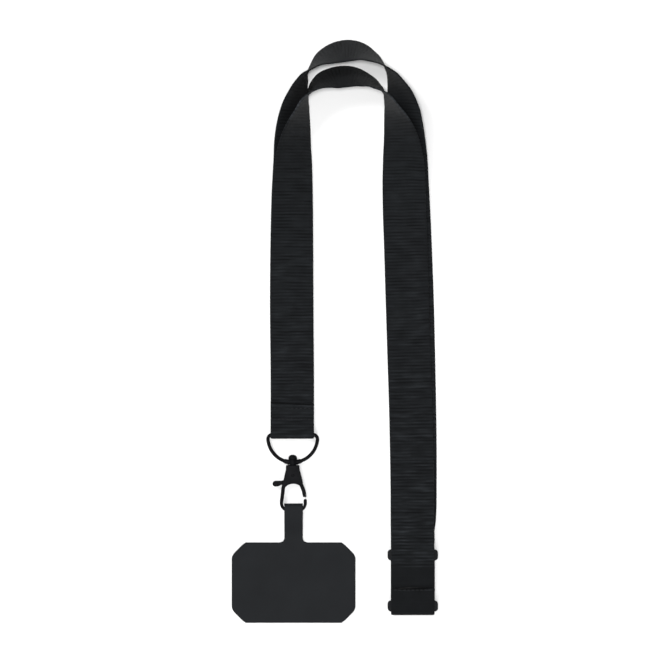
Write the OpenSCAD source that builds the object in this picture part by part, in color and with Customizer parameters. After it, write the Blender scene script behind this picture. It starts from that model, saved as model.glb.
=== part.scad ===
// Neck lanyard of flat webbing, laid double on a table: breakaway buckle, D-ring, swivel hook and tab.
// Millimetres. Z = 0 is the table, +Y runs from the tab to the arch of the strap, +X is the buckle's side.

/* [Webbing] */
// Width of the webbing
web_w = 20; // [19:0.5:20.5]
// Thickness of the webbing
web_t = 0.9; // [0.7:0.05:0.9]

/* [D-ring] */
// Wire diameter of the D-ring
ring_wire = 1.6; // [1.4:0.1:1.6]
// Half length of the D-ring's straight bar
ring_half = 9.2; // [9:0.1:9.6]

/* [Hook] */
// Thickness of the hook's cast body
hook_t = 4; // [3.6:0.1:4]
// Wire diameter of the fixed claw
claw_wire = 1.4; // [1.2:0.1:1.4]
// Thickness of the gate
gate_t = 1.5; // [1.2:0.1:1.5]

/* [Tab] */
// Width of the pad
pad_w = 57; // [50:1:60]
// Height of the pad
pad_h = 37; // [34:1:37]
// Length of the cut across each corner of the pad, along each edge
pad_cut = 6; // [4:0.5:8]
// Thickness of one sheet of the tab
sheet_t = 0.45; // [0.35:0.05:0.45]
// Width of the stem
stem_w = 8.7; // [8:0.1:8.8]

/* [Buckle] */
// Width of each buckle half across its ears
ear_w = 23.2; // [22.8:0.1:23.6]
// Thickness of the buckle's body
buckle_t = 3.4; // [3:0.1:3.4]

/* [Hidden] */
$fn = 48;

web_color = [0.12, 0.125, 0.135];
metal_color = [0.08, 0.08, 0.09];
plastic_color = [0.1, 0.1, 0.11];
tab_color = [0.18, 0.185, 0.195];
thread_color = [0.07, 0.07, 0.08];

plane_z = 2;                      // height of the plane that the ring, hook and buckle lie in
hook_x = -19.5;                   // axis of the D-ring and the swivel
tab_x = -19.1;                    // middle of the tab
buckle_x = 35.75;                 // middle of the buckle
left_x = -19.7;                   // middle of the webbing at the D-ring
layer = web_t + 0.05;             // step from one layer of webbing to the next
low_z = web_t / 2;                // middle of a layer that lies on the table
fit = 0.05;                       // radial running clearance of a pin

// ---- routes of the webbing ----
// A place on the arch: the edge that stays low [x, y, z], then the bearing and tilt of the width from it.
function tipped(x, y, z, bearing, tilt) =
    let (w = [cos(tilt) * cos(bearing), cos(tilt) * sin(bearing), sin(tilt)])
    concat([x, y, z] + w * web_w / 2, w, [web_w]);
// A place on a flat stretch: the middle of the width. side is -1 on the left leg and 1 on the right leg.
function level(x, y, z, side, width = web_w) = [x, y, z, side, 0, 0, width];
// Half a turn round a bar that lies along X, from one angle to another in the YZ plane.
function wrap(x, y, z, r, from, to, side, width = web_w, steps = 8) =
    [for (i = [0:steps]) let (a = from + (to - from) * i / steps)
        level(x, y + r * cos(a), z + r * sin(a), side, width)];

// Catmull-Rom curve through the places of a route, with a number of steps between each two.
function pick(route, i) = route[max(0, min(len(route) - 1, i))];
function blend(a, b, c, d, t) =
    0.5 * (2 * b + (c - a) * t + (2 * a - 5 * b + 4 * c - d) * t * t + (3 * b - a - 3 * c + d) * t * t * t);
function curve(route, steps) = concat(
    [for (i = [0:len(route) - 2], s = [0:steps - 1])
        blend(pick(route, i - 1), pick(route, i), pick(route, i + 1), pick(route, i + 2), s / steps)],
    [route[len(route) - 1]]);

function part3(v, i) = [v[i], v[i + 1], v[i + 2]];
function unit(v) = v / norm(v);
function ring_points(rings, i) = let (
        here = rings[i],
        run = part3(pick(rings, i + 1), 0) - part3(pick(rings, i - 1), 0),
        w = unit(part3(here, 3)),
        n = unit(cross(run, w)),
        half = here[6] / 2,
        bevel = 0.3,
        c = part3(here, 0))
    [for (p = [[half, 0], [half - bevel, low_z], [bevel - half, low_z], [-half, 0], [bevel - half, -low_z],
        [half - bevel, -low_z]]) c + w * p[0] + n * p[1]];

module webbing(rings) {
    sides = 6;
    last = len(rings) - 1;
    points = [for (i = [0:last], p = ring_points(rings, i)) p];
    walls = [for (i = [0:last - 1], k = [0:sides - 1]) let (
            a = i * sides + k,
            b = i * sides + (k + 1) % sides)
        each [[b + sides, b, a], [a + sides, b + sides, a]]];
    start = [[for (k = [0:sides - 1]) k]];
    end = [[for (k = [sides - 1:-1:0]) last * sides + k]];
    color(web_color) polyhedron(points, concat(walls, start, end));
}

// Back strap: from its cut end on the left leg's front, round the D-ring's bar, up the left leg, over the
// outer arch, down the right leg and round the bar of the plug.
ring_bar_y = -47.3;
loop_r = plane_z - low_z;         // radius at which webbing turns round a bar
plug_fold_y = -105;
flap_z = low_z + 2 * layer;       // middle of the tail that lies on the front strap
back_tail = [level(left_x, -32.9, flap_z + 0.3, -1), level(left_x, -38, flap_z + 0.15, -1),
    level(left_x, -42, flap_z + 0.12, -1), level(left_x, -44.8, 3.15, -1)];
back_rise = [level(left_x, -44, low_z, -1), tipped(-9.7, -20, low_z, 180, 0.6),
    tipped(-10, 8, low_z, 180, 2), tipped(-10.1, 36, low_z, 180, 10),
    tipped(-10.2, 60, low_z, 180, 17.5), tipped(-10.6, 78, low_z, 180, 27.5),
    tipped(-11.5, 88, low_z, 181, 35), tipped(-11.9, 97, low_z, 183, 43),
    tipped(-12.3, 105, low_z, 187, 53), tipped(-12.3, 112, low_z, 194, 64),
    tipped(-11.6, 117, low_z, 207, 70), tipped(-10.4, 122, low_z, 235, 70),
    tipped(-7, 127.7, low_z, 258, 66), tipped(-2.5, 131.8, low_z, 268, 59),
    tipped(2.2, 133.9, low_z, 270, 56), tipped(6.8, 134.3, low_z, 270, 57),
    tipped(11.3, 133.1, low_z, 272, 61), tipped(15.4, 130.4, low_z, 277, 67),
    tipped(19.2, 126.8, low_z, 292, 71), tipped(22.2, 121.3, low_z, 322, 70),
    tipped(23.6, 115.4, low_z, 345, 64.5), tipped(23.9, 109, low_z, 357, 53),
    tipped(23.3, 102, low_z, 360, 39), tipped(22.9, 95, low_z, 360, 29),
    tipped(22.8, 87, low_z, 360, 20), tipped(22.9, 79, low_z, 360, 11),
    tipped(23.2, 69, low_z, 360, 6), tipped(24.3, 46, low_z, 360, 1.5),
    tipped(25.5, 14, low_z, 360, 0.2), level(36.3, -20, low_z + 0.01, 1), level(36.8, -50, low_z, 1),
    level(36.8, -76, low_z, 1), level(36.7, -82, low_z + 0.03, 1), level(36.5, -86, low_z + 0.12, 1),
    level(36, -89.6, low_z + 0.7, 1), level(buckle_x, -91.2, low_z + layer, 1),
    level(buckle_x, -92.6, 2.1, 1), level(buckle_x, -94.4, 3.4, 1), level(buckle_x, -97, 3.5, 1),
    level(buckle_x, -101.5, 3.5, 1, 18.2)];
back_return = [level(buckle_x, -101.5, low_z, 1, 18.4), level(buckle_x, -96, low_z, 1),
    level(buckle_x, -89.3, low_z, 1)];
back_rings = concat(
    curve(back_tail, 2), wrap(left_x, ring_bar_y, plane_z, loop_r, 90, 270, -1),
    curve(back_rise, 3), wrap(buckle_x, plug_fold_y, 1.975, 1.525, 90, 270, 1, 18), curve(back_return, 2));

// Front strap: from its cut end under the back strap's tail, up the left leg, over the inner arch, down the
// right leg and across the plug. Its end goes through the socket's slot, round the bar and back on itself.
mid_z = low_z + layer;
front_split_y = -95;
front_route = [level(left_x, -44.2, mid_z, -1), tipped(-9.7, -20, mid_z, 180, 0.6),
    tipped(-9.9, 8, mid_z, 180, 2), tipped(-10, 30, mid_z + 0.04, 180, 8.6),
    tipped(-10.1, 52, mid_z, 180, 15.8), tipped(-10.4, 70, mid_z + 0.08, 180, 25),
    tipped(-11, 84, mid_z + 0.1, 183, 38.5), tipped(-11.3, 94.5, mid_z, 187, 54),
    tipped(-11.6, 103, mid_z, 203, 68), tipped(-11.2, 109, mid_z, 228, 72.5),
    tipped(-9.9, 114, 1.2, 262, 72), tipped(-6.8, 118.3, 0.9, 276, 65),
    tipped(-2.3, 121.3, low_z, 280, 58), tipped(3.1, 122.4, low_z, 281, 56.5),
    tipped(8.4, 121.6, low_z, 283, 59), tipped(13.5, 119, low_z, 288, 64),
    tipped(17.2, 116, 0.8, 295, 67.5), tipped(20.2, 112.2, 1.2, 308, 68.5),
    tipped(21.8, 106.2, mid_z, 329, 64.5), tipped(22.2, 99, mid_z, 347, 53),
    tipped(22.4, 92, mid_z, 354, 41), tipped(22.3, 85, mid_z, 358, 30),
    tipped(22, 77, mid_z, 360, 17), tipped(21.8, 68, mid_z, 360, 9.5),
    tipped(22, 54, mid_z + 0.05, 360, 5), tipped(22.5, 40, mid_z + 0.05, 360, 1.8),
    tipped(23.1, 20, mid_z + 0.04, 360, 0.8), level(34, -9, mid_z, 1),
    level(34.8, -34, mid_z + 0.1, 1), level(35.3, -58, 2.3, 1), level(35.5, -74, 3.7, 1),
    level(35.5, -85, 4.5, 1), level(35.6, front_split_y + 0.1, 4.5, 1)];
socket_fold_y = -128.5;
end_route = [level(35.6, front_split_y - 0.1, 4.5, 1), level(35.7, -107, 4.5, 1),
    level(buckle_x, -113, 4.4, 1), level(buckle_x, -118, 4.4, 1),
    level(buckle_x, -119.8, 4.25, 1, 19), level(buckle_x, -121.3, 3.3, 1, 18),
    level(buckle_x, -121.9, 2.2, 1, 18), level(buckle_x, -122.4, 1.3, 1, 18),
    level(buckle_x, -123.1, 0.62, 1, 18.3), level(buckle_x, -123.8, 0.48, 1, 18.6),
    level(buckle_x, -125.4, low_z, 1)];
end_tail = [level(buckle_x, -126, 3.5, 1), level(buckle_x, -123.5, 3.8, 1),
    level(buckle_x, -121.5, 4.65, 1), level(buckle_x, -119.5, 5.3, 1),
    level(buckle_x, -117.65, 5.4, 1)];

module front_strap() {
    webbing(curve(front_route, 3));
}

module front_strap_end() {
    webbing(concat(curve(end_route, 3), wrap(buckle_x, socket_fold_y, 1.975, 1.525, 270, 90, 1),
        curve(end_tail, 3)));
}

module back_strap() {
    webbing(back_rings);
}

// ---- stitching ----
// One row of stitches across the webbing, resting on the surface at height z.
module stitch_row(x, y, z) {
    stitch = 1.4;
    pitch = 2;
    count = 9;
    color(thread_color) for (i = [0:count - 1])
        translate([x + (i - (count - 1) / 2) * pitch - stitch / 2, y - 0.15, z]) cube([stitch, 0.3, 0.2]);
}

module ring_seam() {
    stitch_row(left_x, -35.2, flap_z + low_z + 0.27);
    stitch_row(left_x, -40.2, flap_z + low_z + 0.18);
}

module front_loop_seam() {
    stitch_row(buckle_x, -118.6, 5.9);
}

module back_loop_seam() {
    stitch_row(buckle_x, -90.9, low_z + layer + low_z + 0.1);
}

// ---- D-ring ----
ring_r = ring_wire / 2;
corner_r = 2.2;                   // radius of the D-ring's corners, at the wire's middle
boss_y = -60.1;                   // middle of the wire at the bottom of the bow
bow_drop = ring_bar_y - corner_r - boss_y;
bow_r = (ring_half * ring_half + bow_drop * bow_drop - corner_r * corner_r) / (2 * (bow_drop - corner_r));
bow_y = boss_y + bow_r;
bow_angle = atan2(bow_y - (ring_bar_y - corner_r), ring_half);
post_r = 1.2;
boss_r = 1.9;
boss_l = 2.4;

// Points of an arc about [x, y] in the plane of the hardware.
function arc(x, y, r, from, to, steps = 8) =
    [for (i = [0:steps]) let (a = from + (to - from) * i / steps) [x + r * cos(a), y + r * sin(a), plane_z]];

// Round wire along a path in the plane of the hardware, open or joined end to end.
module wire(path, d, closed = false) {
    sides = 12;
    count = len(path);
    function at(i) = closed ? path[(i + count) % count] : pick(path, i);
    points = [for (i = [0:count - 1], k = [0:sides - 1]) let (
            run = unit(at(i + 1) - at(i - 1)),
            out = [-run[1], run[0], 0],
            a = 360 * k / sides)
        path[i] + d / 2 * (out * cos(a) + [0, 0, sin(a)])];
    spans = closed ? count : count - 1;
    walls = [for (i = [0:spans - 1], k = [0:sides - 1]) let (
            a = i * sides + k,
            b = i * sides + (k + 1) % sides,
            c = (i + 1) % count * sides + k,
            e = (i + 1) % count * sides + (k + 1) % sides)
        each [[e, b, a], [c, e, a]]];
    start = [[for (k = [0:sides - 1]) k]];
    end = [[for (k = [sides - 1:-1:0]) (count - 1) * sides + k]];
    polyhedron(points, closed ? walls : concat(walls, start, end));
}

module d_ring() {
    corner_y = ring_bar_y - corner_r;
    color(metal_color) difference() {
        union() {
            wire(concat(
                arc(hook_x + ring_half, corner_y, corner_r, 90, -bow_angle),
                arc(hook_x, bow_y, bow_r, -bow_angle - 4, bow_angle - 176, 24),
                arc(hook_x - ring_half, corner_y, corner_r, 180 + bow_angle, 90)), ring_wire, true);
            translate([hook_x, boss_y - boss_l / 2, plane_z]) rotate([-90, 0, 0])
                cylinder(r = boss_r, h = boss_l);
            for (side = [0, 180]) translate([hook_x, boss_y, plane_z]) rotate([0, side, 0])
                rotate([0, 90, 8]) cylinder(r1 = 1.1, r2 = ring_r + 0.1, h = 3);
        }
        translate([hook_x, boss_y - 3, plane_z]) rotate([-90, 0, 0]) cylinder(r = post_r + fit, h = 6);
    }
}

// ---- swivel hook ----
post_head_r = 1.95;
collar_top = boss_y - boss_l / 2 - 0.1;

// Domed head inside the D-ring, and the post that goes down through the boss into the hook's body.
module swivel_post() {
    head_y = boss_y + boss_l / 2 + 0.1;
    color(metal_color) translate([hook_x, 0, plane_z]) rotate([-90, 0, 0]) {
        translate([0, 0, -63.5]) cylinder(r = post_r, h = 63.5 + head_y + 0.5);
        translate([0, 0, head_y]) cylinder(r = post_head_r, h = 1.3);
        translate([0, 0, head_y + 1.3]) cylinder(r1 = post_head_r, r2 = 1.1, h = 0.9);
    }
}

pivot_y = -66.1;
pin_r = 0.75;
slot_t = gate_t + 0.2;
slot_top = -64.05;
eye_x = 0.3;                      // middle of the eye, from the swivel's axis
eye_y = -78.9;                    // middle of the claw's two bottom corners
eye_corner_x = 2.2;
eye_corner_r = 3.3;
claw_bottom = -82.6;
claw_drop = eye_y - claw_bottom;
claw_bow_r = (eye_corner_x * eye_corner_x + claw_drop * claw_drop - eye_corner_r * eye_corner_r)
    / (2 * (claw_drop - eye_corner_r));
claw_bow_y = claw_bottom + claw_bow_r;
claw_bow_a = atan2(claw_bow_y - eye_y, eye_corner_x);
claw_tip = -77;

// Outline of the cast body, from the collar down to its two shoulders, about the swivel's axis.
module body_outline() {
    difference() {
        polygon([[-3.1, collar_top], [3.1, collar_top], [3.1, -63.4], [3.5, -64.6], [4.7, -69.4],
            [4.3, -70.8], [-3.8, -72.6], [-5.1, -72.6], [-4.9, -70.6], [-4, -67.4], [-3.4, -64.2],
            [-3.1, -63.4]]);
        translate([eye_x, -74.9]) circle(r = 5);
    }
}

// Bent wire that goes from the left shoulder round the bottom of the eye to the tip on the right.
module claw() {
    side_x = eye_corner_x + eye_corner_r;
    mid_x = hook_x + eye_x;
    wire(concat(
        [[mid_x - side_x + 0.88, eye_y + 7.2, plane_z], [mid_x - side_x + 0.3, eye_y + 2.4, plane_z]],
        arc(mid_x - eye_corner_x, eye_y, eye_corner_r, 180, 180 + claw_bow_a),
        arc(mid_x, claw_bow_y, claw_bow_r, 184 + claw_bow_a, 356 - claw_bow_a, 5),
        arc(mid_x + eye_corner_x, eye_y, eye_corner_r, -claw_bow_a, 0),
        [[mid_x + side_x, claw_tip, plane_z]]), claw_wire);
}

module hook_body() {
    color(metal_color) union() {
        difference() {
            translate([hook_x, 0, plane_z - hook_t / 2]) linear_extrude(hook_t) body_outline();
            translate([hook_x, 0, plane_z - slot_t / 2]) linear_extrude(slot_t)
                polygon([[-9, slot_top], [9, slot_top], [9, -74], [-3.4, -74], [-3.4, -70.6], [-9, -70.6]]);
            translate([hook_x, pivot_y, -1]) cylinder(r = pin_r, h = 8);
            translate([hook_x, collar_top + 1, plane_z]) rotate([90, 0, 0]) cylinder(r = post_r, h = 3.2);
            // chamfers along the four long edges of the collar and body
            for (flip = [0, 180]) translate([hook_x, 0, plane_z]) rotate([0, flip, 0])
                for (side = [-1, 1]) translate([side * 3.1, -62, hook_t / 2]) rotate([0, 45, 0])
                    cube([0.9, 5, 0.9], center = true);
        }
        claw();
    }
}

// ---- gate, its pin and its spring ----
hub_r = 1.8;
lever_r = 1.35;

module gate() {
    color(metal_color) translate([hook_x, 0, plane_z - gate_t / 2]) difference() {
        linear_extrude(gate_t) {
            translate([0, pivot_y]) circle(r = hub_r);
            polygon([[-0.8, pivot_y + 1.6], [-1.8, -66.4], [-3.6, -68.1], [-5.2, -68.6], [-7.9, -68.6],
                [-7.9, -71.3], [-6.6, -71.1], [-5.4, -70.5], [-3.9, -70.1], [-0.6, pivot_y - 1.7]]);
            translate([-7.9, -69.95]) circle(r = lever_r);
            polygon([[1.2, pivot_y + 1.3], [2.4, -66.4], [4.4, -69.4], [5.9, -73.2], [6.3, -76.1],
                [4.9, -76.1], [4.3, -73.3], [2.6, -69.6], [0.4, pivot_y - 1.7]]);
        }
        translate([0, pivot_y, -1]) cylinder(r = pin_r + fit, h = 5);
        translate([0, pivot_y, -1]) cylinder(r = 1.5, h = 1.8);
    }
    // thumb pad, thicker than the lever that it ends
    color(metal_color) translate([hook_x - 8.1, -69.95, plane_z - 1.3]) cylinder(r = 1.2, h = 2.6);
}

module gate_pin() {
    color(metal_color) translate([hook_x, pivot_y, plane_z - hook_t / 2]) cylinder(r = pin_r, h = hook_t);
}

// Two turns of wire round the pin, in the pocket under the gate's hub.
module gate_spring() {
    spring_wire = 0.25;
    color("silver") for (turn = [0, 1]) translate([hook_x, pivot_y, 1.4 + turn * spring_wire])
        rotate_extrude() translate([1.15, 0]) circle(d = spring_wire, $fn = 24);
}

// ---- buckle ----
bar_l = 5;                        // length of each bar along the strap
bar_t = 2;
arm_in = 9.2;                     // inner side of the arms that carry a bar
body_half = 10.1;
tongue_half = 5.5;
tongue_end = -116.2;
parting_y = -109.5;               // where the two halves meet

// A bar with a rounded ear at each end, in plan.
module bar_plan(y) {
    ear_r = 1.6;
    ear_mid = ear_w / 2 - ear_r;
    translate([0, y]) {
        square([2 * ear_mid, bar_l], center = true);
        square([ear_w, bar_l - 2 * ear_r], center = true);
        for (x = [-1, 1], k = [-1, 1]) translate([x * ear_mid, k * (bar_l / 2 - ear_r)]) circle(r = ear_r);
    }
}

// Bar and the two arms that join it to the body at y_body.
module bar_and_arms(y_bar, y_body) {
    translate([buckle_x, 0, plane_z - bar_t / 2]) linear_extrude(bar_t) {
        bar_plan(y_bar);
        for (x = [-1, 1]) translate([x > 0 ? arm_in : -body_half, min(y_bar, y_body)])
            square([body_half - arm_in, abs(y_bar - y_body)]);
    }
}

module buckle_plug() {
    web_top = -107.2;
    color(plastic_color) {
        bar_and_arms(-102.7, web_top - 1);
        translate([buckle_x - body_half, parting_y + 0.1, plane_z - buckle_t / 2])
            cube([2 * body_half, web_top - parting_y - 0.1, buckle_t]);
        translate([buckle_x, 0, plane_z - 0.9]) linear_extrude(1.8) {
            polygon([[-tongue_half, parting_y + 0.5], [tongue_half, parting_y + 0.5],
                [tongue_half, tongue_end + 1.5], [tongue_half - 1.2, tongue_end],
                [1.2 - tongue_half, tongue_end], [-tongue_half, tongue_end + 1.5]]);
            for (x = [-1, 1]) translate([x * tongue_half, -112.5]) circle(r = 0.5);
        }
    }
}

module buckle_socket() {
    body_end = -119.2;
    color(plastic_color) {
        bar_and_arms(-126.2, body_end + 1);
        difference() {
            translate([buckle_x - body_half, body_end, plane_z - buckle_t / 2])
                cube([2 * body_half, parting_y - body_end, buckle_t]);
            translate([buckle_x - tongue_half - 0.7, tongue_end - 0.6, plane_z - 1])
                cube([2 * tongue_half + 1.4, 20, 2]);
        }
    }
}

// ---- tab ----
loop_y = -81.83;                  // axis on which the loop turns round the claw
loop_in = 1.55;                   // half of the loop's open height
loop_out = loop_in + sheet_t;
loop_top = -79;
pad_top = -97.05;
pad_low_z = sheet_t + 0.05;

// Side view of the folded stem: the front layer, the fold round the claw and the tail behind.
module stem_profile() {
    fold_y = loop_top - loop_out;
    difference() {
        union() {
            translate([fold_y, plane_z]) circle(r = loop_out);
            polygon([[fold_y, plane_z + loop_out], [fold_y, plane_z + loop_in], [-84, plane_z + loop_in],
                [-92, pad_low_z], [pad_top - 1, pad_low_z], [pad_top - 1, pad_low_z + sheet_t],
                [-92, pad_low_z + sheet_t], [-84, plane_z + loop_out]]);
            translate([-93.6, plane_z - loop_out]) square([93.6 + fold_y, sheet_t]);
        }
        translate([fold_y, plane_z]) circle(r = loop_in);
        translate([fold_y - 3, plane_z - loop_in]) square([3, 2 * loop_in]);
    }
}

// Pad in plan: a rectangle with its corners cut, and with the root of the stem when root is true.
module pad_plan(root) {
    low = pad_top - pad_h;
    half = pad_w / 2;
    fillet = 2.1;
    offset(r = 1.5, $fn = 32) offset(delta = -1.5)
        polygon([[-half + pad_cut, low], [half - pad_cut, low], [half, low + pad_cut],
            [half, pad_top - pad_cut], [half - pad_cut, pad_top], [-half + pad_cut, pad_top],
            [-half, pad_top - pad_cut], [-half, low + pad_cut]]);
    if (root) difference() {
        translate([-stem_w / 2 - fillet, pad_top - 0.5]) square([stem_w + 2 * fillet, fillet + 0.5]);
        for (x = [-1, 1]) translate([x * (stem_w / 2 + fillet), pad_top + fillet]) circle(r = fillet);
    }
}

module tab_front_sheet() {
    color(tab_color) translate([tab_x, 0, 0]) {
        translate([0, 0, pad_low_z]) linear_extrude(sheet_t) pad_plan(true);
        rotate([90, 0, 90]) translate([0, 0, -stem_w / 2]) linear_extrude(stem_w) stem_profile();
    }
}

module tab_back_sheet() {
    color(tab_color) translate([tab_x, 0, 0]) linear_extrude(sheet_t) {
        pad_plan(true);
        translate([-stem_w / 2, pad_top]) square([stem_w, -93.8 - pad_top]);
    }
}

front_strap();
front_strap_end();
back_strap();
ring_seam();
front_loop_seam();
back_loop_seam();
d_ring();
swivel_post();
hook_body();
gate();
gate_pin();
gate_spring();
buckle_socket();
buckle_plug();
tab_front_sheet();
tab_back_sheet();
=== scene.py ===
import math

import bmesh
import bpy
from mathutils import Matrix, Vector, noise


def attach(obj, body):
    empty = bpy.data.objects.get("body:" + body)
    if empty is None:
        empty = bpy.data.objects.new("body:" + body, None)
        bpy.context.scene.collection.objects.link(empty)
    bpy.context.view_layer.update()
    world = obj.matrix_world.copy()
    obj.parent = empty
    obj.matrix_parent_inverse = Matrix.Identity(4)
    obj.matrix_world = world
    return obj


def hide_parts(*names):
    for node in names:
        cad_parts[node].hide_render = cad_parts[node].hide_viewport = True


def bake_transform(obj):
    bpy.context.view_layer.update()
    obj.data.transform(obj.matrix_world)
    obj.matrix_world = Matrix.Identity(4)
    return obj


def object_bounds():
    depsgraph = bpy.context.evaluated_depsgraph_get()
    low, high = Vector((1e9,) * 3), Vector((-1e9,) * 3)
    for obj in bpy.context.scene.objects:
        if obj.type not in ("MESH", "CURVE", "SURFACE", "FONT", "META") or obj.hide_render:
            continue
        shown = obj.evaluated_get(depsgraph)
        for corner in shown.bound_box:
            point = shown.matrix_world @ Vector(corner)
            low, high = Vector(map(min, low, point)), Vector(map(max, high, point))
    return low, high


# A webbing neck lanyard with a breakaway buckle, a swivel hook and a phone tab, lying on a table.
# Lengths are in millimetres, which MM turns into metres, unless a comment says metres.
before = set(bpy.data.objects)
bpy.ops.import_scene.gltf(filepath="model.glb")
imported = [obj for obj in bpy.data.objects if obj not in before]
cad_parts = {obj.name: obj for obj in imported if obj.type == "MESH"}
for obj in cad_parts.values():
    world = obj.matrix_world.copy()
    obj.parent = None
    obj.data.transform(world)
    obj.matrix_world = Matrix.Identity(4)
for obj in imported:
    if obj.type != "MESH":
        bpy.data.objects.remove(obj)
cad_low, cad_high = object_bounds()

MM = 0.001
centre = (cad_low + cad_high) / 2

# ---------------------------------------------------------------- camera, floor and light
VIEW_WIDTH = 0.3041             # metres of table that the frame shows
CAMERA_HEIGHT = 1.8             # metres above the table
CAMERA_SHIFT = (-2.2, 0.55)     # millimetres from the middle of the object
SENSOR = 36
FLOOR_DROP = 0.0001             # metres from the object down to the floor


def make_camera():
    data = bpy.data.cameras.new("camera")
    data.sensor_width = SENSOR
    data.lens = SENSOR * CAMERA_HEIGHT / VIEW_WIDTH
    data.clip_start, data.clip_end = 0.05, 20
    camera = bpy.data.objects.new("camera", data)
    camera.location = (centre.x + CAMERA_SHIFT[0] * MM, centre.y + CAMERA_SHIFT[1] * MM, CAMERA_HEIGHT)
    bpy.context.scene.collection.objects.link(camera)
    bpy.context.scene.camera = camera


def area_light(name, place, size, power):
    """A square soft box that faces the object. Sizes and places are in metres."""
    data = bpy.data.lights.new(name, "AREA")
    data.shape = "SQUARE"
    data.size, data.energy = size, power
    lamp = bpy.data.objects.new(name, data)
    lamp.location = place
    lamp.rotation_euler = (-Vector(place)).to_track_quat("-Z", "Y").to_euler()
    bpy.context.scene.collection.objects.link(lamp)


def make_light():
    world = bpy.data.worlds.new("studio")
    world.use_nodes = True
    background = world.node_tree.nodes["Background"]
    background.inputs["Color"].default_value = (1, 1, 1, 1)
    background.inputs["Strength"].default_value = 0.27
    bpy.context.scene.world = world
    bpy.context.scene.view_settings.view_transform = "Standard"
    # the key casts the shadow to the lower right, and the top light reaches the floor inside the arches
    area_light("key", (-0.85, 0.75, 1.25), 0.5, 17)
    area_light("right fill", (1.15, 0.1, 1.05), 0.9, 2)
    area_light("front fill", (0.1, -1.25, 1.0), 0.9, 15)
    area_light("top", (-0.08, 0.02, 2.3), 0.35, 44)


# ---------------------------------------------------------------- helpers
def mesh_object(name, bm, material=None):
    """Turns a bmesh into a smooth-shaded object in the scene."""
    mesh = bpy.data.meshes.new(name)
    bmesh.ops.recalc_face_normals(bm, faces=bm.faces)
    bm.to_mesh(mesh)
    bm.free()
    piece = bpy.data.objects.new(name, mesh)
    bpy.context.scene.collection.objects.link(piece)
    if material:
        mesh.materials.append(material)
    for face in mesh.polygons:
        face.use_smooth = True
    return piece


def apply_modifiers(piece):
    bpy.context.view_layer.update()
    graph = bpy.context.evaluated_depsgraph_get()
    mesh = bpy.data.meshes.new_from_object(piece.evaluated_get(graph))
    piece.modifiers.clear()
    old = piece.data
    piece.data = mesh
    bpy.data.meshes.remove(old)


def shade(piece, crease):
    """Smooth shading, except over edges that turn by more than crease degrees."""
    for face in piece.data.polygons:
        face.use_smooth = True
    piece.data.set_sharp_from_angle(angle=math.radians(crease))


def bevelled(piece, width, segments, angle):
    bevel = piece.modifiers.new("round", "BEVEL")
    bevel.width = width * MM
    bevel.segments = segments
    bevel.limit_method = "ANGLE"
    bevel.angle_limit = math.radians(angle)
    apply_modifiers(piece)
    shade(piece, 40)
    return piece


def combine(piece, operation, others, use_self=False):
    """A UNION or DIFFERENCE of a piece with other closed meshes, which are used up."""
    for other in others:
        boolean = piece.modifiers.new(other.name, "BOOLEAN")
        boolean.object = other
        boolean.operation = operation
        boolean.solver = "EXACT"
        boolean.use_self = use_self
    apply_modifiers(piece)
    for other in others:
        bpy.data.objects.remove(other)


def skin(bm, rings, around=False):
    """Faces between rings of vertices. Both ends are closed, or with around they are joined to each other."""
    pairs = list(zip(rings, rings[1:]))
    if around:
        pairs.append((rings[-1], rings[0]))
    for a, b in pairs:
        for k in range(len(a)):
            n = (k + 1) % len(a)
            bm.faces.new((a[k], a[n], b[n], b[k]))
    if not around:
        bm.faces.new(rings[0][::-1])
        bm.faces.new(rings[-1])


def extrude(bm, outline, low, high):
    """A closed prism: the outline's [x, y] points, in millimetres, from one height to another."""
    bottom = [bm.verts.new((x * MM, y * MM, low * MM)) for x, y in outline]
    top = [bm.verts.new((x * MM, y * MM, high * MM)) for x, y in outline]
    skin(bm, [bottom, top])


def lathe(bm, profile, x, z, around=False, steps=48):
    """A turned shape about an axis along Y through [x, z]. profile is [radius, y] in millimetres.

    Its ends are closed by discs, or with around by a wall from its last point to its first.
    """
    rings = []
    for radius, y in profile:
        rings.append([bm.verts.new(((x + radius * math.cos(a)) * MM, y * MM, (z + radius * math.sin(a)) * MM))
                      for a in (2 * math.pi * k / steps for k in range(steps))])
    skin(bm, rings, around)


DOME = (0.5, 1.0, 1.35, 1.5)    # angles of a domed end's rings, in radians from its rim


def tube(bm, path, radius, closed=False, sides=20, round_ends=True):
    """A round wire along points in millimetres. Open ends are domed. radius may be a list, one to a point."""
    points = [Vector(p) for p in path]
    radii = list(radius) if isinstance(radius, list) else [radius] * len(points)
    if not closed and round_ends:
        for end, inward in ((0, 1), (-1, -2)):
            run = (points[end] - points[inward]).normalized()
            caps = [points[end] + run * math.sin(a) * radii[end] for a in DOME]
            cap_radii = [max(math.cos(a), 0.12) * radii[end] for a in DOME]
            if end == 0:
                points = caps[::-1] + points
                radii = cap_radii[::-1] + radii
            else:
                points += caps
                radii += cap_radii
    count = len(points)
    out = None
    rings = []
    for i, p in enumerate(points):
        before = points[i - 1] if closed or i else points[0]
        after = points[(i + 1) % count] if closed or i < count - 1 else points[-1]
        run = (after - before).normalized()
        if out is None:
            out = run.orthogonal() if abs(run.z) > 0.9 else run.cross(Vector((0, 0, 1)))
        out = (out - run * out.dot(run)).normalized()
        up = run.cross(out)
        rings.append([bm.verts.new((p + radii[i] * (out * math.cos(a) + up * math.sin(a))) * MM)
                      for a in (2 * math.pi * k / sides for k in range(sides))])
    skin(bm, rings, closed)


def arc(x, y, radius, start, end, z=None, steps=16):
    """Points [x, y], or [x, y, z] when z is given, along an arc between two angles in degrees."""
    points = []
    for i in range(steps + 1):
        a = math.radians(start + (end - start) * i / steps)
        point = (x + radius * math.cos(a), y + radius * math.sin(a))
        points.append(point if z is None else (*point, z))
    return points


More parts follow.
